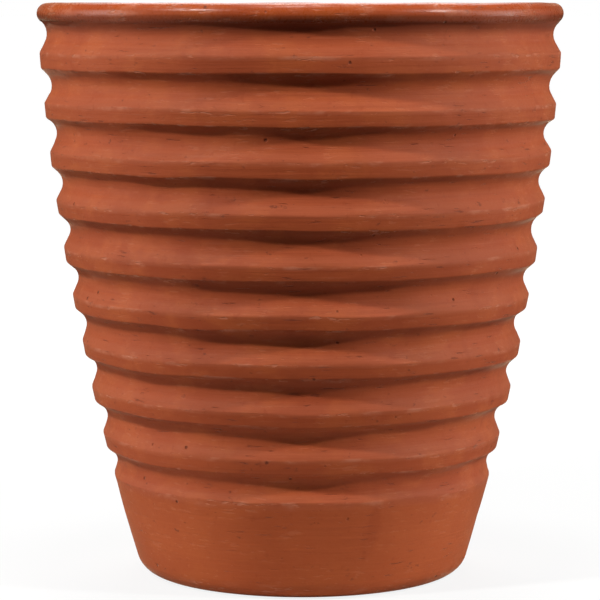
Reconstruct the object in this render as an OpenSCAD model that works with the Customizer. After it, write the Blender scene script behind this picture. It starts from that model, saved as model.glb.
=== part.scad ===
// Ribbed terracotta pot for a greenhouse or garden: one piece of thrown and fired clay.
// The side bows gently outwards from the foot to the lip, and rounded flutes run around it,
// with a rib between each flute and the next. The floor has one central drainage hole.
// Millimetres. The origin is the centre of the foot, on the ground, and +Z is up.

/* [Pot] */
// Outside diameter over the lip
rim_d = 280; // [240:1:330]
// Overall height
pot_h = 306; // [260:1:350]
// Outside diameter where the side's curve meets the ground, before the foot is rounded
base_d = 173; // [150:1:200]
// Radius of the gentle outward bow of the side
side_r = 1275; // [900:5:4000]
// Thickness of the wall at the ribs, and of the rounded lip
wall_t = 11; // [9:0.5:14]

/* [Flutes] */
// Number of flutes, counted from the lip down: those that would reach the foot are left out
flute_n = 10; // [1:1:12]
// Radius of the rounded bottom of a flute
flute_r = 8.5; // [6:0.5:10]
// Depth of a flute below the ribs on either side
flute_depth = 4.8; // [3.5:0.1:5.5]
// Depth of the lowest flute, as a share of the others'
last_flute = 0.8; // [0.6:0.05:1]
// Steepness of a flute's upper flank, under the rib above it
upper_flank = 44; // [38:1:60]
// Steepness of a flute's lower flank, above the rib below it
lower_flank = 33; // [28:1:45]
// Distance from the first flute to the second
flute_pitch = 26.2; // [24:0.1:30]
// How much closer each further flute is than the one before
pitch_step = 0.2; // [0:0.05:0.4]
// Rounding of a rib's lower corner, where the flute under it starts
rib_corner_r = 1.5; // [0.5:0.25:3]
// Rounding of a rib's upper shoulder, where the flute above it ends
rib_shoulder_r = 2.5; // [0.5:0.25:4]
// Straight stretch between the lip's bead and the bottom of the first flute
lip_neck = 1; // [0:0.5:4]

/* [Foot and floor] */
// Rounding between the side and the ground
foot_edge_r = 12.5; // [6:0.5:16]
// Width of the flat ring that the pot stands on
foot_ring_w = 11; // [8:1:18]
// Depth of the hollow inside the foot ring
recess_depth = 2.5; // [1:0.5:4]
// Thickness of the floor over the foot ring
floor_t = 13; // [11:0.5:18]
// Rounding inside, between the floor and the wall
inner_corner_r = 16; // [8:1:24]
// Diameter of the drainage hole
hole_d = 24; // [12:1:36]
// Rounding of the hole's two edges
hole_edge_r = 2; // [1:0.5:3]

/* [Hidden] */

clay = [0.66, 0.34, 0.23];
// The furthest that a chord may stray from the arc it stands for
chord_error = 0.02;
// The least width of rib left between two flutes
rib_min = 1;
lip_r = wall_t / 2;
hole_r = hole_d / 2;

// The point at angle a on the circle of radius r about c
function on_circle(c, r, a) = c + r * [cos(a), sin(a)];
// The direction from one point to another
function direction(from, to) = atan2(to[1] - from[1], to[0] - from[0]);
// Where two circles cross: left (side = 1) or right (side = -1) of the way from c1 to c2
function crossing(c1, r1, c2, r2, side) =
    let (v = c2 - c1, d = norm(v), along = (r1^2 - r2^2 + d^2) / (2 * d))
    c1 + v * along / d + side * [-v[1], v[0]] * sqrt(r1^2 - along^2) / d;
// Points along an arc from angle a0 to a1, without its first, which ends the stretch before
function arc(c, r, a0, a1) =
    let (n = max(1, ceil(abs(a1 - a0) / (2 * acos(1 - chord_error / r)))))
    [for (i = [1:n]) on_circle(c, r, a0 + (a1 - a0) * i / n)];

// The side is an arc about side_c. It ends at the ground in base_d and runs into the lip's bead.
lip_c = [rim_d / 2 - lip_r, pot_h - lip_r];
side_c = crossing([base_d / 2, 0], side_r, lip_c, side_r - lip_r, 1);
inner_r = side_r - wall_t;

// A flank is never steeper than the flute's rounded bottom can turn within its depth
function flank(steep, edge_r, depth) = min(steep, acos(1 - depth / (flute_r + edge_r)));
upper_steep = flank(upper_flank, rib_corner_r, flute_depth);
lower_steep = flank(lower_flank, rib_shoulder_r, flute_depth);
// How far a flute and its rounded edges reach along the side, above and below its middle
function flank_reach(steep, edge_r) =
    (flute_depth - (flute_r + edge_r) * (1 - cos(steep))) / tan(steep) + (flute_r + edge_r) * sin(steep);
upper_reach = flank_reach(upper_steep, rib_corner_r);
lower_reach = flank_reach(lower_steep, rib_shoulder_r);
pitch_min = upper_reach + lower_reach + rib_min;

// The first flute hangs from the lip's bead by the neck, and the rest follow down the side
function flute_orbit(depth) = side_r + flute_r - depth;
first_c = crossing(side_c, flute_orbit(flute_depth), lip_c, norm([flute_r + lip_r, lip_neck]), -1);
neck_angle = direction(lip_c, first_c) + atan2(lip_neck, flute_r + lip_r);
first_z = side_c[1] + side_r * sin(direction(side_c, first_c));
function flute_z(k) =
    k == 0 ? first_z : flute_z(k - 1) - max(pitch_min, flute_pitch - pitch_step * (k - 1));
flutes = [for (k = [0:flute_n - 1]) if (flute_z(k) - lower_reach > foot_edge_r + rib_min) k];
last = len(flutes) - 1;
function depth(k) = flute_depth * (k > 0 && k == last ? last_flute : 1);
function flute_c(k) =
    on_circle(side_c, flute_orbit(depth(k)), asin((flute_z(k) - side_c[1]) / side_r));

// The centre of the rounding between the side and a flute's flank. The flank runs along the
// direction slope from the flute's bottom, which it leaves at angle a seen from the flute's centre.
function edge_c(k, a, slope, edge_r) =
    let (
        start = on_circle(flute_c(k), flute_r + edge_r, a) - side_c,
        way = [cos(slope), sin(slope)],
        ahead = start * way
    )
    side_c + start + way * (sqrt(ahead^2 - start * start + (side_r - edge_r)^2) - ahead);
function out_angle(k) = direction(side_c, flute_c(k));
function upper_a(k) = out_angle(k) + 180 - flank(upper_flank, rib_corner_r, depth(k));
function lower_a(k) = out_angle(k) + 180 + flank(lower_flank, rib_shoulder_r, depth(k));
function corner_c(k) = edge_c(k, upper_a(k), upper_a(k) - 90, rib_corner_r);
function shoulder_c(k) = edge_c(k, lower_a(k), lower_a(k) + 90, rib_shoulder_r);

// The face of the rib above flute k, with its lower corner
function rib(k) = concat(
    arc(side_c, side_r, direction(side_c, shoulder_c(k - 1)), direction(side_c, corner_c(k))),
    arc(corner_c(k), rib_corner_r, direction(side_c, corner_c(k)), upper_a(k) - 180)
);
// Flute k from the angle its rounded bottom starts at, with the shoulder of the rib below it
function flute(k, from_a) = concat(
    [on_circle(flute_c(k), flute_r, from_a)],
    arc(flute_c(k), flute_r, from_a, lower_a(k)),
    [on_circle(shoulder_c(k), rib_shoulder_r, lower_a(k) - 180)],
    arc(shoulder_c(k), rib_shoulder_r, lower_a(k) - 180, direction(side_c, shoulder_c(k)))
);

// The foot: rounded outside, flat on its ring, and hollowed under the floor by an S-shaped step
foot_dz = foot_edge_r - side_c[1];
foot_c = [side_c[0] + sqrt((side_r - foot_edge_r)^2 - foot_dz^2), foot_edge_r];
ring_in_r = foot_c[0] - foot_ring_w;
step_r = recess_depth / (2 - 2 * cos(45));
step_w = 2 * step_r * sin(45);

// The floor's inside corner
inner_dz = floor_t + inner_corner_r - side_c[1];
inner_c = [side_c[0] + sqrt((inner_r - inner_corner_r)^2 - inner_dz^2), floor_t + inner_corner_r];

lip_bead = arc(lip_c, lip_r, direction(side_c, lip_c) + 180, neck_angle);
fluted_side = concat(
    flute(0, neck_angle + 180),
    [for (k = flutes) if (k > 0) each concat(rib(k), flute(k, upper_a(k)))]
);
skirt = arc(side_c, side_r, direction(side_c, shoulder_c(last)), direction(side_c, foot_c));
foot = concat(
    arc(foot_c, foot_edge_r, direction(side_c, foot_c), -90),
    [[ring_in_r, 0]],
    arc([ring_in_r, step_r], step_r, -90, -135),
    arc([ring_in_r - step_w, recess_depth - step_r], step_r, 45, 90)
);
hole = concat(
    [[hole_r + hole_edge_r, recess_depth]],
    arc([hole_r + hole_edge_r, recess_depth + hole_edge_r], hole_edge_r, -90, -180),
    [[hole_r, floor_t - hole_edge_r]],
    arc([hole_r + hole_edge_r, floor_t - hole_edge_r], hole_edge_r, 180, 90)
);
inside = concat(
    [[inner_c[0], floor_t]],
    arc(inner_c, inner_corner_r, -90, direction(side_c, inner_c)),
    arc(side_c, inner_r, direction(side_c, inner_c), direction(side_c, lip_c))
);

// The whole pot: its cross-section, turned about the Z axis
module pot() {
    color(clay)
        rotate_extrude($fn = 180)
            polygon(concat(lip_bead, fluted_side, skirt, foot, hole, inside));
}

pot();
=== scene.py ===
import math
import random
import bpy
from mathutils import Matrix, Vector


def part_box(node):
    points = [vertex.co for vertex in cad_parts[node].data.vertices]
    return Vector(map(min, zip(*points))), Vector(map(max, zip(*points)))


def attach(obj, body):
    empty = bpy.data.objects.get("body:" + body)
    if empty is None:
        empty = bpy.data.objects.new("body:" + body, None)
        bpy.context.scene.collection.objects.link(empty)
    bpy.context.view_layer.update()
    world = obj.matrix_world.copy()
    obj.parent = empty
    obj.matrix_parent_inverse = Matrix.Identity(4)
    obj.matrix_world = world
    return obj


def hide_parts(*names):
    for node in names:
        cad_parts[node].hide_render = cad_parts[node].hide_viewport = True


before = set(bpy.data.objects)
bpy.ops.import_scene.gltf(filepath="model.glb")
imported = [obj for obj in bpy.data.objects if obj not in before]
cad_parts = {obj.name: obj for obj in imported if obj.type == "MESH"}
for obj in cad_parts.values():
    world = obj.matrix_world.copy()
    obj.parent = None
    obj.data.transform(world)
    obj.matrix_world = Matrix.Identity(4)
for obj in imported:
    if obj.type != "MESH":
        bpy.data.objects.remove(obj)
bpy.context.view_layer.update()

# A ribbed terracotta pot: one piece of thrown and fired clay, modelled as a potter makes
# it. Its section is drawn point by point and spun into a wall. Then it is worked by hand:
# the ribs wander, the flutes deepen and shallow, and the edges take small nicks.
# Everything is in metres.

from types import SimpleNamespace

import bmesh
import bpy
import numpy as np
from bpy.props import (FloatProperty, FloatVectorProperty, IntProperty,
                       PointerProperty)
from mathutils import Vector

bl_info = {
    "name": "Ribbed terracotta pot",
    "version": (1, 0, 0),
    "blender": (4, 5, 0),
    "location": "View3D > Sidebar > Clay pot",
    "description": "Throws, works by hand, fires and stages a ribbed terracotta pot",
    "category": "Add Mesh",
}

POT = "terracotta_pot"
CAD_NODE = "pot"
LOW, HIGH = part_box(CAD_NODE)
RIM_R = (HIGH.x - LOW.x) / 2
POT_H = HIGH.z - LOW.z
QUARTER = math.pi / 2


# ---- Sizes and finish ----

def length(name, description, default, low=0.0):
    """A size that the sidebar shows in the scene's length unit."""
    return FloatProperty(name=name, description=description, default=default,
                         min=low, subtype="DISTANCE", unit="LENGTH", precision=5)


def angle(name, description, degrees):
    """An angle, given here in degrees and kept in radians."""
    return FloatProperty(name=name, description=description,
                         default=math.radians(degrees), subtype="ANGLE", unit="ROTATION")


def colour(name, description, default):
    """A linear RGB colour."""
    return FloatVectorProperty(name=name, description=description, default=default,
                               size=3, min=0, max=1, subtype="COLOR")


def share(name, description, default, high=1.0):
    """A plain number from 0 up to high."""
    return FloatProperty(name=name, description=description, default=default,
                         min=0, max=high)


class PotSizes(bpy.types.PropertyGroup):
    """The section of the pot, as the CAD part has it."""
    base_d: length("Base", "Diameter where the side's curve meets the ground", 0.173)
    side_r: length("Side bow", "Radius of the gentle outward bow of the side", 1.275)
    wall_t: length("Wall", "Thickness at the ribs, and of the rounded lip", 0.011)
    flute_n: IntProperty(name="Flutes", description="Hollow rings around the side",
                         default=10)
    flute_r: length("Flute radius", "Radius of the rounded bottom of a flute", 0.0085)
    flute_depth: length("Flute depth", "Depth below the ribs on either side", 0.0048)
    last_depth: share("Last flute", "Depth of the lowest flute, as a share of the rest's",
                      0.8)
    upper_flank: angle("Upper flank", "Steepness of a flute under the rib above", 44)
    lower_flank: angle("Lower flank", "Steepness of a flute above the rib below", 33)
    flute_pitch: length("Flute pitch", "Distance from the first flute to the second",
                        0.0262)
    pitch_step: length("Pitch step", "How much closer each further flute is", 0.0002)
    corner_r: length("Rib corner", "Rounding of a rib's lower corner", 0.0015)
    shoulder_r: length("Rib shoulder", "Rounding of a rib's upper shoulder", 0.0025)
    lip_neck: length("Lip neck", "Straight stretch between the lip and the first flute",
                     0.001)
    foot_edge_r: length("Foot edge", "Rounding between the side and the ground", 0.0125)
    ring_w: length("Foot ring", "Width of the ring that the pot stands on", 0.011)
    recess: length("Recess", "Depth of the hollow inside the foot ring", 0.0025)
    floor_t: length("Floor", "Thickness of the floor over the foot ring", 0.013)
    inner_corner_r: length("Inner corner", "Rounding inside, between floor and wall",
                           0.016)
    hole_d: length("Drainage hole", "Diameter of the hole in the floor", 0.024)
    hole_edge_r: length("Hole edge", "Rounding of the hole's two edges", 0.002)
    segments: IntProperty(name="Segments", description="Steps of one turn of the wheel",
                          default=336)


class HandWork(bpy.types.PropertyGroup):
    """How far the potter's hands strayed from a true turned shape."""
    lean: length("Lean", "How far the lip's centre stands off the foot's", 0.0011, -0.01)
    oval: length("Oval", "How much wider the pot is one way than the other", 0.0005)
    wander: length("Wander", "How far the ribs rise and fall around the pot", 0.0022)
    wander_size: length("Wander length", "Size of those rises and falls", 0.065)
    swell: length("Swell", "How far the wall stands in and out around the pot", 0.0008)
    swell_size: length("Swell length", "Size of those swellings", 0.040)
    press: length("Press", "How much deeper and shallower the fingers pressed", 0.0022)
    press_size: length("Press length", "Size of those deeper and shallower places", 0.045)
    nicks: IntProperty(name="Nicks", description="Small dents along the ribs", default=22)
    nick_depth: length("Nick depth", "Depth of the deepest nick", 0.0009)
    nick_size: length("Nick size", "How far a nick reaches", 0.0045)
    seed: IntProperty(name="Seed", description="Start of the random places", default=7)


class ClayFinish(bpy.types.PropertyGroup):
    """The fired clay's colours and surface, some of them also painting light and shade.
    """
    clay: colour("Clay", "The body of the fired clay", (0.375, 0.070, 0.020))
    # the warm clay also paints light on the skirt and foot
    warm: colour("Warm clay", "Where the kiln's fire caught it", (0.430, 0.090, 0.023))
    deep: colour("Deep clay", "Darker bands and patches", (0.285, 0.043, 0.012))
    # the rubbed colour also paints light on the up-facing slopes of the flutes
    rubbed: colour("Rubbed edge", "Ribs and lip where they were rubbed",
                   (0.560, 0.200, 0.115))
    # the pit colour is also the colour of the painted shade under the lip
    pit_and_shade: colour("Pit", "Small pits and burnt specks", (0.120, 0.025, 0.012))
    roughness: share("Roughness", "Mean roughness of the surface", 0.66)


class StageSizes(bpy.types.PropertyGroup):
    """The camera, the lights and the ground."""
    distance: length("Camera distance", "From the pot's axis, level with the lip", 1.492)
    lens: FloatProperty(name="Lens", description="Focal length, in millimetres",
                        default=166.7)
    aim_drop: length("Aim drop", "How far below the pot's middle the camera aims", 0.0066)
    aim_side: length("Aim side", "How far to the left of the axis it aims", 0.0011)
    ground: colour("Ground", "The pale floor, as the camera has it", (0.13, 0.13, 0.128))
    near_foot: colour("Floor by the foot", "The floor's light on the foot",
                      (0.62, 0.61, 0.59))
    side_glow: share("Side glow", "Strength of the low glow from the two sides", 0.60,
                     high=10)
    fill: share("Fill", "Strength of the even light from all around", 0.006)


# ---- Section of the pot ----

def on_circle(c, r, a):
    """The point at angle a on the circle of radius r about c."""
    return np.array((c[0] + r * math.cos(a), c[1] + r * math.sin(a)))


def direction(start, end):
    """The direction from one point to another."""
    return math.atan2(end[1] - start[1], end[0] - start[0])


def crossing(c1, r1, c2, r2, side):
    """Where two circles cross, on the left (1) or right (-1) of the way from c1 to c2."""
    v = np.subtract(c2, c1)
    d = np.hypot(*v)
    along = (r1 ** 2 - r2 ** 2 + d ** 2) / (2 * d)
    off = math.sqrt(r1 ** 2 - along ** 2)
    return np.array(c1) + (v * along + side * np.array((-v[1], v[0])) * off) / d


def arc(c, r, a0, a1, n):
    """n points along an arc from a0 to a1, without its first."""
    return [on_circle(c, r, a0 + (a1 - a0) * i / n) for i in range(1, n + 1)]


# how many points each stretch of the section has
POINTS = {"lip": 16, "face": 4, "corner": 3, "hollow": 6, "slope": 3, "shoulder": 3,
          "skirt": 11, "foot": 8, "ring": 3, "step": 3, "underside": 4, "hole_edge": 4,
          "hole_wall": 3, "floor": 5, "inner_corner": 8, "inner_side": 24}
STEP_A = math.pi / 4  # how far each of the two arcs between ring and hollow turns


class Section:
    """The wall's outline: (radius, height) points, and the name of each one's stretch."""

    def __init__(self, s):
        self.s = s
        self.points, self.names = [], []
        self.lip_r = s.wall_t / 2
        self.lip_c = np.array((RIM_R - self.lip_r, POT_H - self.lip_r))
        self.side_c = crossing((s.base_d / 2, 0), s.side_r, self.lip_c,
                               s.side_r - self.lip_r, 1)
        self.place_flutes()

    def add(self, name, points):
        self.points += [tuple(p) for p in points]
        self.names += [name] * len(points)

    def depth(self, k):
        return self.s.flute_depth * (self.s.last_depth if k == self.s.flute_n - 1 else 1)

    def place_flutes(self):
        """The first flute hangs from the lip by its neck. The rest follow below it."""
        s = self.s
        orbit = s.side_r + s.flute_r - s.flute_depth
        reach = math.hypot(s.flute_r + self.lip_r, s.lip_neck)
        first = crossing(self.side_c, orbit, self.lip_c, reach, -1)
        self.neck_a = (direction(self.lip_c, first)
                       + math.atan2(s.lip_neck, s.flute_r + self.lip_r))
        z = self.side_c[1] + s.side_r * math.sin(direction(self.side_c, first))
        self.flutes = []
        for k in range(s.flute_n):
            if k:
                z -= s.flute_pitch - s.pitch_step * (k - 1)
            out = math.asin((z - self.side_c[1]) / s.side_r)
            orbit_k = s.side_r + s.flute_r - self.depth(k)
            self.flutes.append((on_circle(self.side_c, orbit_k, out), out))

    def edge(self, start, slope, edge_r):
        """The centre of the rounding between a flank and the side."""
        ahead_from = np.subtract(start, self.side_c)
        way = np.array((math.cos(slope), math.sin(slope)))
        ahead = ahead_from @ way
        r = self.s.side_r - edge_r
        far = math.sqrt(ahead ** 2 - ahead_from @ ahead_from + r ** 2)
        return start + way * (far - ahead)

    def side(self, name, a0, a1):
        self.add(name, arc(self.side_c, self.s.side_r, a0, a1, POINTS[name]))

    def straight(self, name, start, end, n):
        """n points on the way from start to end, without start."""
        (r0, z0), (r1, z1) = start, end
        self.add(name, [(r0 + (r1 - r0) * i / n, z0 + (z1 - z0) * i / n)
                        for i in range(1, n + 1)])

    def draw(self):
        s, side_c = self.s, self.side_c
        lip_a = direction(side_c, self.lip_c) + math.pi
        self.add("lip", arc(self.lip_c, self.lip_r, lip_a, self.neck_a, POINTS["lip"]))
        side_a = None
        for k, (c, out) in enumerate(self.flutes):
            start_a = self.neck_a + math.pi
            if k:
                start_a = out + math.pi - s.upper_flank
                corner = self.edge(on_circle(c, s.flute_r + s.corner_r, start_a),
                                   start_a - QUARTER, s.corner_r)
                corner_a = direction(side_c, corner)
                self.side("face", side_a, corner_a)
                self.add("corner", arc(corner, s.corner_r, corner_a, start_a - math.pi,
                                       POINTS["corner"]))
            end_a = out + math.pi + s.lower_flank
            shoulder = self.edge(on_circle(c, s.flute_r + s.shoulder_r, end_a),
                                 end_a + QUARTER, s.shoulder_r)
            shoulder_a = direction(side_c, shoulder)
            self.add("hollow", [on_circle(c, s.flute_r, start_a)])
            self.add("hollow", arc(c, s.flute_r, start_a, end_a, POINTS["hollow"]))
            self.straight("slope", on_circle(c, s.flute_r, end_a),
                          on_circle(shoulder, s.shoulder_r, end_a - math.pi),
                          POINTS["slope"])
            self.add("shoulder", arc(shoulder, s.shoulder_r, end_a - math.pi, shoulder_a,
                                     POINTS["shoulder"]))
            side_a = shoulder_a
        self.draw_foot(side_a)
        self.draw_inside()
        return self.points, self.names

    def draw_foot(self, side_a):
        """The band, the foot, the ring it stands on, the hollow in it and the hole."""
        s, side_c = self.s, self.side_c
        r = s.foot_edge_r
        dz = r - side_c[1]
        foot_c = (side_c[0] + math.sqrt((s.side_r - r) ** 2 - dz ** 2), r)
        foot_a = direction(side_c, foot_c)
        ring_in = foot_c[0] - s.ring_w
        step_r = s.recess / (2 - 2 * math.cos(STEP_A))
        step_w = 2 * step_r * math.sin(STEP_A)
        hole_r, edge = s.hole_d / 2, s.hole_edge_r
        flat_from, flat_to = ring_in - step_w, hole_r + edge
        low, high = s.recess + edge, s.floor_t - edge
        self.side("skirt", side_a, foot_a)
        self.add("foot", arc(foot_c, r, foot_a, -QUARTER, POINTS["foot"]))
        self.straight("ring", (foot_c[0], 0), (ring_in, 0), POINTS["ring"])
        self.add("under", arc((ring_in, step_r), step_r, -QUARTER, -QUARTER - STEP_A,
                              POINTS["step"]))
        self.add("under", arc((flat_from, s.recess - step_r), step_r, QUARTER - STEP_A,
                              QUARTER, POINTS["step"]))
        self.straight("under", (flat_from, s.recess), (flat_to, s.recess),
                      POINTS["underside"])
        self.add("hole", arc((flat_to, low), edge, -QUARTER, -math.pi,
                             POINTS["hole_edge"]))
        self.straight("hole", (hole_r, low), (hole_r, high), POINTS["hole_wall"])
        self.add("hole", arc((flat_to, high), edge, math.pi, QUARTER,
                             POINTS["hole_edge"]))

    def draw_inside(self):
        """The floor and the smooth inner face, up to the lip."""
        s, side_c = self.s, self.side_c
        r, inner_r = s.inner_corner_r, s.side_r - s.wall_t
        dz = s.floor_t + r - side_c[1]
        inner_c = (side_c[0] + math.sqrt((inner_r - r) ** 2 - dz ** 2), s.floor_t + r)
        inner_a = direction(side_c, inner_c)
        self.straight("floor", (s.hole_d / 2 + s.hole_edge_r, s.floor_t),
                      (inner_c[0], s.floor_t), POINTS["floor"])
        self.add("inside", arc(inner_c, r, -QUARTER, inner_a, POINTS["inner_corner"]))
        self.add("inside", arc(side_c, inner_r, inner_a, direction(side_c, self.lip_c),
                               POINTS["inner_side"]))


# ---- Modelling helpers ----

def select_only(obj):
    bpy.ops.object.select_all(action="DESELECT")
    obj.select_set(True)
    bpy.context.view_layer.objects.active = obj


def coordinates(obj):
    co = np.empty(len(obj.data.vertices) * 3, np.float32)
    obj.data.vertices.foreach_get("co", co)
    return co.reshape(-1, 3).astype(float)


def attribute(obj, name):
    values = np.empty(len(obj.data.vertices), np.float32)
    obj.data.attributes[name].data.foreach_get("value", values)
    return values


def smooth_step(x, low, high):
    t = np.clip((x - low) / (high - low), 0, 1)
    return t * t * (3 - 2 * t)


def float_attribute(obj, name, values):
    """A value for each vertex, which the hand work or the clay goes by."""
    made = obj.data.attributes.new(name, "FLOAT", "POINT")
    made.data.foreach_set("value", np.asarray(values, np.float32))


def weight_group(obj, name, weights, steps=200):
    """A vertex group whose weights say how far the hand work reaches."""
    group = obj.vertex_groups.new(name=name)
    levels = np.round(weights * steps).astype(int)
    for level in np.unique(levels[levels > 0]):
        group.add(np.flatnonzero(levels == level).tolist(), level / steps, "REPLACE")


def push(obj, distance, axis, group, texture=None, pattern=None):
    """Moves the wall along an axis or its normal, as the group and texture say."""
    select_only(obj)
    bpy.ops.object.modifier_add(type="DISPLACE")
    modifier = obj.modifiers[-1]
    modifier.strength = distance
    modifier.direction = axis
    modifier.vertex_group = group
    modifier.mid_level = 0.0
    if texture:
        modifier.mid_level = 0.5
        modifier.texture = texture
        modifier.texture_coords = "OBJECT"
        modifier.texture_coords_object = pattern
    bpy.ops.object.modifier_apply(modifier=modifier.name)


def push_by_clouds(obj, distance, axis, group, size, flatter=1.0, start=(0, 0, 0)):
    """Moves the wall to and fro by a cloud pattern of a size, flatter than it is wide."""
    texture = bpy.data.textures.new(group, "CLOUDS")
    texture.noise_scale = size
    texture.noise_depth = 1
    bpy.ops.object.empty_add(location=start)
    pattern = bpy.context.object
    pattern.scale = (1, 1, flatter)
    bpy.context.view_layer.update()
    push(obj, distance, axis, group, texture, pattern)
    bpy.data.objects.remove(pattern)
    bpy.data.textures.remove(texture)


# ---- The pot ----

WELD = 1e-5            # points closer than this are one
ROWS_AT_ONCE = 4096    # how many points are named at a time, to save memory

# for each attribute that the hand work or the clay goes by, its value on each stretch
# where it isn't 0
STRETCH_VALUES = {
    "rubbed": {"lip": 0.7, "corner": 1, "shoulder": 0.9, "foot": 0.6},
    "flute": {"hollow": 1, "slope": 0.4},
    "lip": {"lip": 1},
    # band: the skirt and foot, lightened by painted light and with fewer streaks
    "band": {"skirt": 1, "foot": 1},
    # slope: the up-facing slopes and shoulders, which take a painted light
    "slope": {"slope": 1, "shoulder": 0.9, "hollow": 0.25},
    "inner": {"inside": 1, "floor": 1, "hole": 0.5},
}


class CLAYPOT_OT_throw(bpy.types.Operator):
    """Draws the pot's section and turns it into the wall, the floor and the foot"""
    bl_idname = "clay_pot.throw"
    bl_label = "Throw the pot"
    bl_options = {"REGISTER", "UNDO"}

    def execute(self, context):
        sizes = context.scene.pot_sizes
        points, names = Section(sizes).draw()
        obj = self.draw_section(points)
        self.spin(sizes.segments)
        obj.name = obj.data.name = POT
        self.name_stretches(obj, points, names)
        expected = len(points) * sizes.segments
        if len(obj.data.vertices) != expected:
            raise RuntimeError(f"{len(obj.data.vertices)} points, not {expected}")
        return {"FINISHED"}

    def draw_section(self, points):
        """A small square becomes one point, which is drawn out round the section."""
        bpy.ops.object.select_all(action="DESELECT")
        bpy.ops.mesh.primitive_plane_add(size=0.01)
        obj = bpy.context.object
        bpy.ops.object.mode_set(mode="EDIT")
        bpy.context.tool_settings.mesh_select_mode = (True, False, False)
        bpy.ops.mesh.merge(type="CENTER")
        r, z = points[-1]
        bpy.ops.transform.translate(value=(r, 0, z))
        for point in points:
            step = (point[0] - r, 0, point[1] - z)
            bpy.ops.mesh.extrude_region_move(TRANSFORM_OT_translate={"value": step})
            r, z = point
        return obj

    def spin(self, steps):
        """One turn of the wheel, closed where it meets its start."""
        bpy.ops.mesh.select_all(action="SELECT")
        bpy.ops.mesh.remove_doubles(threshold=WELD)
        bpy.ops.mesh.spin(steps=steps, angle=math.tau, center=(0, 0, 0), axis=(0, 0, 1))
        bpy.ops.mesh.select_all(action="SELECT")
        bpy.ops.mesh.remove_doubles(threshold=WELD)
        bpy.ops.mesh.normals_make_consistent(inside=False)
        bpy.ops.mesh.faces_shade_smooth()
        bpy.ops.object.mode_set(mode="OBJECT")

    def name_stretches(self, obj, points, names):
        """Gives each point its stretch's values, before the hand work moves it."""
        co = coordinates(obj)
        radius = np.hypot(co[:, 0], co[:, 1])
        section = np.array(points)
        nearest = np.empty(len(co), int)
        for start in range(0, len(co), ROWS_AT_ONCE):
            part = slice(start, start + ROWS_AT_ONCE)
            gap = ((radius[part, None] - section[:, 0]) ** 2
                   + (co[part, 2, None] - section[:, 1]) ** 2)
            nearest[part] = gap.argmin(axis=1)
        for attribute_name, value_of in STRETCH_VALUES.items():
            of_row = np.array([value_of.get(name, 0) for name in names])
            float_attribute(obj, attribute_name, of_row[nearest])


# where the straying comes in, above the ground, and where it eases, below the top
FOOT_STEADY = (0.004, 0.035)
LIP_STEADY = (0.035, 0.012)
LIP_STEADINESS = 0.75  # how much less the lip rises and falls than the ribs
WORN = 0.85            # nicks are on the edges that are rubbed more than this


class CLAYPOT_OT_work_by_hand(bpy.types.Operator):
    """Lets the ribs, flutes and lip stray from the true turned shape, as hands do"""
    bl_idname = "clay_pot.work_by_hand"
    bl_label = "Work it by hand"
    bl_options = {"REGISTER", "UNDO"}

    def execute(self, context):
        hand = context.scene.pot_hand
        obj = bpy.data.objects[POT]
        place = coordinates(obj)
        above_foot = smooth_step(place[:, 2], *FOOT_STEADY)
        at_lip = smooth_step(place[:, 2], *(POT_H - below for below in LIP_STEADY))
        weight_group(obj, "above_foot", above_foot)
        weight_group(obj, "below_lip", above_foot * (1 - LIP_STEADINESS * at_lip))
        weight_group(obj, "in_flutes", above_foot * attribute(obj, "flute"))
        weight_group(obj, "height", place[:, 2] / POT_H, steps=600)
        self.nick_edges(obj, hand, place)
        push_by_clouds(obj, hand.wander, "Z", "below_lip", hand.wander_size,
                       flatter=0.6)
        push_by_clouds(obj, hand.swell, "NORMAL", "above_foot", hand.swell_size,
                       flatter=0.5, start=(0.3, 0.1, 0.2))
        push_by_clouds(obj, hand.press, "NORMAL", "in_flutes", hand.press_size,
                       flatter=0.6, start=(0.1, 0.4, 0.7))
        push(obj, -hand.lean, "X", "height")
        self.settle(obj, hand)
        return {"FINISHED"}

    def nick_edges(self, obj, hand, place):
        """Small dents in the ribs' edges, at random places around the pot."""
        rng = random.Random(hand.seed)
        edges = np.flatnonzero(attribute(obj, "rubbed") > WORN)
        chosen = [int(edges[rng.randrange(len(edges))]) for _ in range(hand.nicks)]
        select_only(obj)
        bpy.ops.object.mode_set(mode="EDIT")
        for index in chosen:
            self.nick(obj, index, place[index], hand.nick_depth * rng.uniform(0.4, 1),
                      hand.nick_size * rng.uniform(0.8, 1.4))
        bpy.ops.object.mode_set(mode="OBJECT")

    def nick(self, obj, index, place, depth, reach):
        bpy.ops.mesh.select_all(action="DESELECT")
        points = bmesh.from_edit_mesh(obj.data).verts
        points.ensure_lookup_table()
        points[index].select_set(True)
        inwards = -Vector((place[0], place[1], 0)).normalized() * depth
        bpy.ops.transform.translate(value=inwards, use_proportional_edit=True,
                                    proportional_edit_falloff="SMOOTH",
                                    proportional_size=reach)

    def settle(self, obj, hand):
        """The whole pot dries a little oval, about its own foot."""
        narrower = hand.oval / RIM_R / 2
        bpy.ops.object.mode_set(mode="EDIT")
        bpy.ops.mesh.select_all(action="SELECT")
        bpy.ops.transform.resize(value=(1 + narrower, 1 - narrower, 1),
                                 center_override=(0, 0, 0))
        bpy.ops.object.mode_set(mode="OBJECT")
        select_only(obj)
        bpy.ops.object.vertex_group_remove(all=True)


class CLAYPOT_OT_fire(bpy.types.Operator):
    """Gives the pot its fired clay: mottled, streaked, rubbed at the edges and pitted,
    with painted light and shade
    """
    bl_idname = "clay_pot.fire"
    bl_label = "Fire it"
    bl_options = {"REGISTER", "UNDO"}

    def execute(self, context):
        obj = bpy.data.objects[POT]
        obj.data.materials.clear()
        obj.data.materials.append(fired_clay(context.scene.clay_finish))
        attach(obj, "root")
        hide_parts(CAD_NODE)
        return {"FINISHED"}


# ---- Fired clay ----

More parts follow.
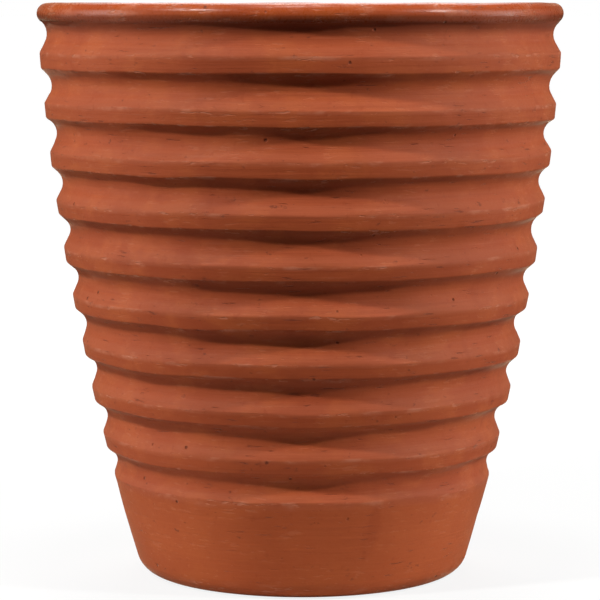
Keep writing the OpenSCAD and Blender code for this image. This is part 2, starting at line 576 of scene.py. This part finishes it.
class Nodes:
    """A short way to write the nodes of a material or of the world."""

    def __init__(self, owner):
        owner.use_nodes = True
        self.tree = owner.node_tree
        self.tree.nodes.clear()

    def add(self, kind, inputs=None, **settings):
        node = self.tree.nodes.new("ShaderNode" + kind)
        for name, value in settings.items():
            setattr(node, name, value)
        for name, value in (inputs or {}).items():
            self.put(node.inputs[name], value)
        return node

    def put(self, socket, value):
        if isinstance(value, bpy.types.NodeSocket):
            self.tree.links.new(value, socket)
        else:
            socket.default_value = value

    def noise(self, vector, scale, detail=3.0, roughness=0.5, stretch=(1, 1, 1)):
        """A cloud pattern from 0 to 1, finer along each axis by stretch."""
        mapped = self.add("Mapping", {"Vector": vector, "Scale": stretch}).outputs[0]
        made = self.add("TexNoise", {"Vector": mapped, "Scale": scale, "Detail": detail,
                                     "Roughness": roughness})
        return made.outputs["Fac"]

    def window(self, value, low, high, to_low=0.0, to_high=1.0):
        """value taken smoothly from low and high to to_low and to_high."""
        made = self.add("MapRange", {"Value": value, "From Min": low, "From Max": high,
                                     "To Min": to_low, "To Max": to_high},
                        interpolation_type="SMOOTHSTEP")
        return made.outputs["Result"]

    def math(self, operation, a, b=0.0):
        return self.add("Math", {0: a, 1: b}, operation=operation).outputs[0]

    def times(self, first, *others):
        """The product of all of them."""
        for other in others:
            first = self.math("MULTIPLY", first, other)
        return first

    def fade(self, mask, amount=1.0):
        """1 outside the mask, and less by amount inside it."""
        return self.math("SUBTRACT", 1.0, self.times(mask, amount))

    def mix(self, amount, under, over):
        """One colour laid over another, as thickly as amount says."""
        made = self.add("Mix", data_type="RGBA", blend_type="MIX")
        self.put(made.inputs["Factor"], amount)
        for socket, value in (("A", under), ("B", over)):
            if isinstance(value, tuple):
                value = (*value, 1)
            self.put(made.inputs[socket], value)
        return made.outputs["Result"]

    def bump(self, height, depth, below=None):
        inputs = {"Height": height, "Distance": depth, "Strength": 1.0}
        if below is not None:
            inputs["Normal"] = below
        return self.add("Bump", inputs).outputs[0]


# name, scale, detail, roughness, and how much finer it is up the wall than around it
CLOUDS = (
    ("mottle", 14, 4, 0.60, 1.8),
    ("blush", 42, 3, 0.60, 1.5),
    ("patch", 60, 3, 0.60, 2.5),
    ("streak", 12, 4, 0.60, 32),
    ("fine_streak", 30, 3, 0.60, 26),
    ("grain", 700, 3, 0.60, 1),
    ("speck", 260, 2, 0.50, 1),
    ("upright", 60, 2, 0.50, 0.16),
    ("scratch", 120, 3, 0.60, 5),
    ("smudge", 150, 3, 0.65, 1.6),
    ("drag", 75, 3, 0.60, 9),
)
PIT_CELLS = 170          # scale of the cells that may each hold a pit
PIT_CHOICE = (0.955, 0.965)
PIT_REACH = (0.08, 0.20)

# depths below the top where the shade under the lip begins and ends, from below upwards
LIP_SHADE_FROM = (0.0170, 0.0120)
LIP_SHADE_TO = (0.0070, 0.0052)


def clay_marks(n, part, cloud, place):
    """Where each kind of mark, and the painted shade under the lip, lies on the wall,
    from 0 to 1.
    """
    depth = n.math("SUBTRACT", POT_H, n.add("SeparateXYZ", {0: place}).outputs[2])
    cell = n.add("TexVoronoi", {"Vector": place, "Scale": PIT_CELLS, "Randomness": 1.0})
    chosen = n.add("SeparateColor", {"Color": cell.outputs["Color"]}).outputs[0]
    return SimpleNamespace(
        # painted shade: the lip's lower half and the crease below it, darkened towards
        # the pit colour
        painted_shade_under_lip=n.times(n.window(depth, *LIP_SHADE_FROM),
                          n.window(depth, *LIP_SHADE_TO, 1, 0), n.fade(part.inner)),
        streaked=n.times(n.window(cloud.streak, 0.48, 0.72),
                         n.window(cloud.mottle, 0.38, 0.62), n.fade(part.band, 0.7)),
        fine=n.times(n.fade(part.band, 0.6),
                     n.window(cloud.fine_streak, 0.60, 0.80, 0, 0.16)),
        smudged=n.times(n.window(cloud.smudge, 0.62, 0.70),
                        n.window(cloud.patch, 0.50, 0.60)),
        dragged=n.times(n.window(cloud.drag, 0.62, 0.68),
                        n.window(cloud.blush, 0.48, 0.40)),
        worn=n.times(part.rubbed, n.window(cloud.patch, 0.50, 0.72)),
        scraped=n.times(n.window(cloud.scratch, 0.57, 0.65),
                        n.window(cloud.blush, 0.47, 0.57),
                        n.math("ADD", n.times(part.rubbed, 0.75), 0.25)),
        pitted=n.times(n.window(chosen, *PIT_CHOICE),
                       n.window(cell.outputs["Distance"], *PIT_REACH, 1, 0)))


def clay_colour(n, finish, part, cloud, marks):
    """The clay's body, and each mark laid over it in turn, with painted light on the
    slopes, skirt and foot and painted shade under the lip.
    """
    clay, warm, deep, rubbed, pit_and_shade = (
        tuple(tint) for tint in (finish.clay, finish.warm, finish.deep, finish.rubbed,
                                 finish.pit_and_shade))
    made = n.mix(n.window(cloud.mottle, 0.30, 0.60, 0.45, 1), deep, clay)
    for amount, over in (
            (n.window(cloud.blush, 0.45, 0.66, 0, 0.6), warm),
            # painted light: the skirt and foot, which face down, lightened towards the
            # warm clay
            (n.times(part.band, 0.5), warm),
            # painted light: the up-facing slopes and shoulders lightened towards the
            # rubbed colour
            (n.times(part.slope, 0.12), rubbed),
            (n.times(marks.streaked, 0.35), deep),
            (n.times(marks.smudged, 0.55), pit_and_shade),
            (n.times(marks.dragged, 0.45), pit_and_shade),
            (n.window(cloud.upright, 0.62, 0.74, 0, 0.28), deep),
            (n.window(cloud.speck, 0.62, 0.75, 0, 0.30), deep),
            (marks.fine, rubbed),
            (n.times(marks.worn, 0.50), rubbed),
            (n.times(marks.scraped, 0.60), rubbed),
            # painted shade under the lip
            (n.times(marks.painted_shade_under_lip, 0.50), pit_and_shade),
            (n.times(marks.pitted, 0.7), pit_and_shade)):
        made = n.mix(amount, made, over)
    return made


def clay_roughness(n, finish, part, cloud, marks):
    """Dry clay, smoother where it is warm and on the lip, rougher inside and in pits."""
    made = n.window(cloud.grain, 0.3, 0.7, finish.roughness - 0.05,
                    finish.roughness + 0.07)
    made = n.math("ADD", made, n.window(cloud.blush, 0.35, 0.65, 0.03, -0.02))
    made = n.math("SUBTRACT", made, n.times(part.lip, 0.38))
    made = n.math("ADD", made, n.times(part.inner, 0.14))
    return n.math("ADD", made, n.times(marks.pitted, 0.20))


def clay_relief(n, cloud, marks):
    """The fine relief, by its height in metres. Marks that go in are negative."""
    made = None
    for pattern, depth in ((cloud.streak, 0.00022), (cloud.fine_streak, 0.00009),
                           (cloud.patch, 0.00018), (cloud.grain, 0.00004),
                           (marks.scraped, -0.00025), (marks.dragged, -0.0002),
                           (marks.pitted, -0.0004)):
        made = n.bump(pattern, depth, made)
    return made


def fired_clay(finish):
    """The whole material. Its sheen is the dust on dry clay."""
    material = bpy.data.materials.new("fired_terracotta")
    n = Nodes(material)
    place = n.add("TexCoord").outputs["Object"]
    part = SimpleNamespace(**{
        name: n.add("Attribute", attribute_name=name).outputs["Fac"]
        for name in ("rubbed", "lip", "inner", "band", "slope")})
    cloud = SimpleNamespace(**{
        name: n.noise(place, scale, detail, roughness, (1, 1, finer))
        for name, scale, detail, roughness, finer in CLOUDS})
    marks = clay_marks(n, part, cloud, place)
    shader = n.add("BsdfPrincipled", {
        "Base Color": clay_colour(n, finish, part, cloud, marks),
        "Roughness": clay_roughness(n, finish, part, cloud, marks),
        "Normal": clay_relief(n, cloud, marks),
        "IOR": 1.5, "Specular IOR Level": 0.17,
        "Sheen Weight": 0.20, "Sheen Roughness": 0.25,
        "Sheen Tint": (1.0, 0.92, 0.64, 1)})
    n.add("OutputMaterial", {"Surface": shader.outputs[0]})
    return material


# ---- Stage ----

# name, azimuth from the camera and elevation in degrees, width and height in metres,
# watts, and share of red in the light
SOFT_BOXES = (
    ("left_key", -50, 40, 0.11, 0.11, 18.0, 1.0),
    ("right_key", 62, 32, 0.11, 0.11, 15.6, 1.0),
    ("left_side", -90, 10, 0.60, 0.90, 10.8, 0.88),
    ("right_side", 93, 10, 0.60, 0.90, 10.5, 0.88),
    ("overhead", -10, 87, 0.30, 0.30, 7.0, 1.0),
    ("back_top_box", 180, 45, 0.90, 0.90, 14.0, 1.0),
)
BOX_DISTANCE = 1.6
SENSOR_MM = 36
CLIP = (0.05, 60)

# the floor, by the distance from the pot's axis
FLOOR_SIZE = 400
# painted shade: under the pot the floor hardly glows, so it looks shaded through the hole
UNDER_POT = (0.03, 0.08)       # the glow comes up from DIM to full
DIM = 0.08
GLOW_SPREAD = (0.2, 1.6)       # the glow grows from NEAR_GLOW to full
NEAR_GLOW = 0.84
BRIGHT_RING = (0.17, 0.30)     # the light on the foot fades to that of the far floor
FAR_FLOOR = (0.04, 0.04, 0.04)

# the glow from the sides, by how far to the side and how high a direction points
SIDE_REACH = (0.60, 0.92)
SIDE_HEIGHT = (0.20, 0.45)


class CLAYPOT_OT_stage(bpy.types.Operator):
    """Lays a pale floor and sets the camera and soft studio lights around the pot"""
    bl_idname = "clay_pot.stage"
    bl_label = "Set the stage"
    bl_options = {"REGISTER", "UNDO"}

    def execute(self, context):
        sizes = context.scene.pot_stage
        self.floor(sizes)
        self.camera(context, sizes)
        self.lights()
        self.sky(context, sizes)
        context.scene.view_settings.view_transform = "Standard"
        return {"FINISHED"}

    def floor(self, sizes):
        """Near white to the camera, with a painted shade under the pot; to the pot,
        bright by the foot and dark beyond.
        """
        bpy.ops.object.select_all(action="DESELECT")
        bpy.ops.mesh.primitive_plane_add(size=FLOOR_SIZE)
        floor = bpy.context.object
        floor.name = "pale_floor"
        material = bpy.data.materials.new("pale_floor")
        n = Nodes(material)
        place = n.add("TexCoord").outputs["Object"]
        away = n.add("VectorMath", {0: place}, operation="LENGTH").outputs["Value"]
        seen = n.add("LightPath").outputs["Is Camera Ray"]
        glow = n.times(seen, n.window(away, *GLOW_SPREAD, NEAR_GLOW, 1),
                       n.window(away, *UNDER_POT, DIM, 1))
        bounce = n.mix(n.window(away, *BRIGHT_RING, 1, 0), FAR_FLOOR,
                       tuple(sizes.near_foot))
        base = n.mix(seen, bounce, tuple(sizes.ground))
        shader = n.add("BsdfPrincipled", {"Base Color": base, "Roughness": 0.9,
                                          "Specular IOR Level": 0.0,
                                          "Emission Color": (1, 1, 1, 1),
                                          "Emission Strength": glow})
        n.add("OutputMaterial", {"Surface": shader.outputs[0]})
        floor.data.materials.append(material)
        floor.visible_glossy = False

    def camera(self, context, sizes):
        """Level with the lip, and turned a little down to the pot's middle."""
        eye = Vector((0, -sizes.distance, POT_H))
        aim = Vector((-sizes.aim_side, 0, POT_H / 2 - sizes.aim_drop))
        bpy.ops.object.camera_add(location=eye)
        camera = bpy.context.object
        camera.rotation_euler = (aim - eye).to_track_quat("-Z", "Y").to_euler()
        camera.data.lens = sizes.lens
        camera.data.sensor_width = SENSOR_MM
        camera.data.clip_start, camera.data.clip_end = CLIP
        context.scene.camera = camera

    def lights(self):
        """Two small keys, two low boxes at the sides, one overhead and one behind."""
        middle = Vector((0, 0, POT_H / 2))
        for name, azimuth, elevation, wide, high, watts, red in SOFT_BOXES:
            a, e = math.radians(azimuth), math.radians(elevation)
            way = Vector((math.sin(a) * math.cos(e), -math.cos(a) * math.cos(e),
                          math.sin(e)))
            bpy.ops.object.light_add(type="AREA", location=middle + way * BOX_DISTANCE)
            light = bpy.context.object
            light.name = name
            light.rotation_euler = way.to_track_quat("Z", "Y").to_euler()
            light.data.shape = "RECTANGLE"
            light.data.size, light.data.size_y = wide, high
            light.data.energy = watts
            light.data.color = (red, 1.0, 1.0)

    def sky(self, context, sizes):
        """White to look at; on the pot, faint even light and low glow from the sides."""
        world = bpy.data.worlds.new("studio")
        context.scene.world = world
        n = Nodes(world)
        way = n.add("TexCoord").outputs["Generated"]
        flat = n.add("VectorMath", {0: way, 1: (1, 1, 0)}, operation="MULTIPLY")
        level = n.add("VectorMath", {0: flat.outputs[0]}, operation="NORMALIZE")
        across = n.add("SeparateXYZ", {0: level.outputs[0]}).outputs[0]
        height = n.add("SeparateXYZ", {0: way}).outputs[2]
        glow = n.times(n.window(n.math("ABSOLUTE", across), *SIDE_REACH),
                       n.window(height, *SIDE_HEIGHT, 1, 0), sizes.side_glow)
        lit = n.add("Background", {"Strength": n.math("ADD", glow, sizes.fill)})
        seen = n.add("Background", {"Color": (1, 1, 1, 1), "Strength": 1.0})
        camera_ray = n.add("LightPath").outputs["Is Camera Ray"]
        mixed = n.add("MixShader", {0: camera_ray, 1: lit.outputs[0], 2: seen.outputs[0]})
        n.add("OutputWorld", {"Surface": mixed.outputs[0]})


class CLAYPOT_PT_panel(bpy.types.Panel):
    """The pot's steps and its values"""
    bl_label = "Clay pot"
    bl_space_type = "VIEW_3D"
    bl_region_type = "UI"
    bl_category = "Clay pot"

    def draw(self, context):
        for step in STEPS:
            self.layout.operator(step.bl_idname)
        for group in GROUPS:
            box = self.layout.box()
            owner = getattr(context.scene, group)
            for name in owner.bl_rna.properties.keys():
                if name not in ("rna_type", "name"):
                    box.prop(owner, name)


GROUPS = {"pot_sizes": PotSizes, "pot_hand": HandWork, "clay_finish": ClayFinish,
          "pot_stage": StageSizes}
STEPS = (CLAYPOT_OT_throw, CLAYPOT_OT_work_by_hand, CLAYPOT_OT_fire, CLAYPOT_OT_stage)
PARTS = (*GROUPS.values(), *STEPS, CLAYPOT_PT_panel)


def register():
    for made in PARTS:
        bpy.utils.register_class(made)
    for name, group in GROUPS.items():
        setattr(bpy.types.Scene, name, PointerProperty(type=group))


def unregister():
    for name in GROUPS:
        delattr(bpy.types.Scene, name)
    for made in reversed(PARTS):
        bpy.utils.unregister_class(made)


def main():
    register()
    bpy.ops.clay_pot.throw()
    bpy.ops.clay_pot.work_by_hand()
    bpy.ops.clay_pot.fire()
    bpy.ops.clay_pot.stage()


if __name__ == "__main__":
    main()
